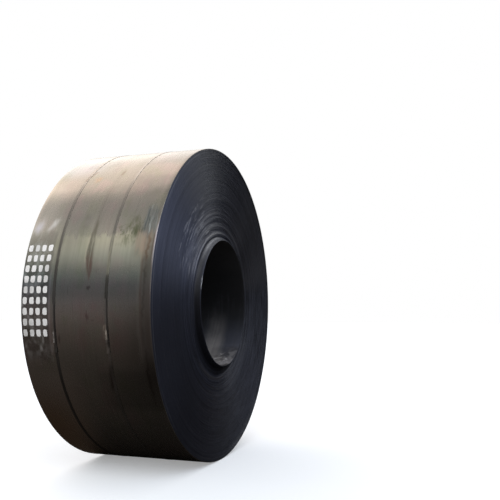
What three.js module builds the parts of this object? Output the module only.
// Coil of hot-rolled steel strip, lying on its side with its axis along X,
// held by two flat steel bands that go round its girth.
// Millimetres, +Z up. The origin is at the bottom centre of the bounding box:
// the lowest flats of the two bands, halfway along the coil.
//
// The strip is one winding, so it is one turned solid. Every turn has the same
// width, so a turn that is pushed along the axis stands proud on one end and is
// set back by as much on the other: END_GROUPS gives that push for each group
// of turns, and both ends use it. The +X end is dished round its eye, and the
// innermost turns stand out of the dish as a lip.

import * as THREE from 'three';

// ---- driving dimensions ----------------------------------------------------
const OUTSIDE_DIAMETER = 1880;
const EYE_DIAMETER = 762;          // 30 in mandrel
const STRIP_WIDTH = 750;
const SIDES = 64;                  // flats round the coil

// [outer radius of the group, push along +X]; the last group ends at the eye
const END_GROUPS = [
  [940, 1.2],
  [924, 0.0],                      // the broad flat ring of each end
  [620, -2.0],
  [594, -4.5],
  [562, -9.0],
  [534, -11.0],
  [512, -16.0],
  [490, -15.0],
  [466, -20.0],                    // the deepest of the dish
  [441, -11.0],
  [420, -14.0],
  [400, -8.0],
  [395, 4.0],
  [391, 15.0],
  [387, 26.0],                     // the lip round the eye
];

const STRAP_WIDTH = 16;
const STRAP_THICKNESS = 0.9;
const STRAP_FAR_X = -174;          // middle of each band, from the middle of the strip
const STRAP_NEAR_X = 131;
const GAP = 0.3;                   // between a band and what it lies on

const SEAL_LENGTH = 68;            // round the coil
const SEAL_THICKNESS = 1.2;
const SEAL_ROOM = 1.2;             // lapped end of the band, and clearance, under the seal's roof
const SEAL_ANGLE = -11.25;         // degrees above the level of the axis, on the -Y side

// ---- derived ---------------------------------------------------------------
const R = OUTSIDE_DIAMETER / 2;
const FLAT = 1 / Math.cos(Math.PI / SIDES);   // corner radius over flat radius
const HALF = STRIP_WIDTH / 2;
const PUSH_MAX = Math.max(...END_GROUPS.map((g) => g[1]));
const PUSH_MIN = Math.min(...END_GROUPS.map((g) => g[1]));
const MIDDLE = (PUSH_MAX + PUSH_MIN) / 2;     // of the two ends' furthest points
const AXIS_Z = R + GAP + STRAP_THICKNESS;

const scaleBlack = new THREE.MeshStandardMaterial({ color: 0x3b3a38, roughness: 0.55, metalness: 0.75 });
const bandSteel = new THREE.MeshStandardMaterial({ color: 0x6d6a64, roughness: 0.45, metalness: 0.85 });
const sealSteel = new THREE.MeshStandardMaterial({ color: 0x8b8a86, roughness: 0.4, metalness: 0.9 });

// A ring turned about X from a closed profile of [x, radius to the flats].
// A flat, not a corner, is lowest.
function turned(profile) {
  const points = profile.map(([x, r]) => new THREE.Vector2(r * FLAT, x));
  points.push(points[0].clone());
  const geometry = new THREE.LatheGeometry(points, SIDES, Math.PI / SIDES, 2 * Math.PI);
  geometry.rotateZ(-Math.PI / 2);
  return geometry;
}

function placed(name, geometry, material, x) {
  const mesh = new THREE.Mesh(geometry, material);
  mesh.name = name;
  mesh.position.x = x;
  return mesh;
}

// ---- the coil --------------------------------------------------------------
const near = [];
const far = [];
END_GROUPS.forEach(([outer, push], i) => {
  const inner = i + 1 < END_GROUPS.length ? END_GROUPS[i + 1][0] : EYE_DIAMETER / 2;
  near.push([HALF + push, outer], [HALF + push, inner]);
  far.push([-HALF + push, outer], [-HALF + push, inner]);
});
const coilProfile = [...far.slice().reverse(), ...near];

// ---- the bands -------------------------------------------------------------
const bandInner = R + GAP;
const bandOuter = bandInner + STRAP_THICKNESS;
const bandProfile = [
  [-STRAP_WIDTH / 2, bandInner],
  [-STRAP_WIDTH / 2, bandOuter],
  [STRAP_WIDTH / 2, bandOuter],
  [STRAP_WIDTH / 2, bandInner],
];

// ---- the seals: a roof over the band with a leg folded down each edge ------
function seal() {
  const inside = STRAP_WIDTH / 2 + GAP;
  const outside = inside + SEAL_THICKNESS;
  const foot = R + GAP;
  const ceiling = bandOuter + SEAL_ROOM;
  const roof = ceiling + SEAL_THICKNESS;
  const section = new THREE.Shape([
    new THREE.Vector2(-outside, foot),
    new THREE.Vector2(-inside, foot),
    new THREE.Vector2(-inside, ceiling),
    new THREE.Vector2(inside, ceiling),
    new THREE.Vector2(inside, foot),
    new THREE.Vector2(outside, foot),
    new THREE.Vector2(outside, roof),
    new THREE.Vector2(-outside, roof),
  ]);
  const geometry = new THREE.ExtrudeGeometry(section, { depth: SEAL_LENGTH, bevelEnabled: false });
  geometry.translate(0, 0, -SEAL_LENGTH / 2);
  // the section's Y is the radius: turn it from +Y to the seal's place
  geometry.rotateX(Math.PI - THREE.MathUtils.degToRad(SEAL_ANGLE));
  return geometry;
}

// ---- assembly --------------------------------------------------------------
const coil = new THREE.Group();
coil.add(placed('steel_coil', turned(coilProfile), scaleBlack, 0));
coil.add(placed('strap_far', turned(bandProfile), bandSteel, STRAP_FAR_X));
coil.add(placed('strap_near', turned(bandProfile), bandSteel, STRAP_NEAR_X));
coil.add(placed('strap_seal_far', seal(), sealSteel, STRAP_FAR_X));
coil.add(placed('strap_seal_near', seal(), sealSteel, STRAP_NEAR_X));
coil.position.set(-MIDDLE, 0, AXIS_Z);

const part = new THREE.Group();
part.add(coil);
part.updateMatrixWorld(true);

export default part;
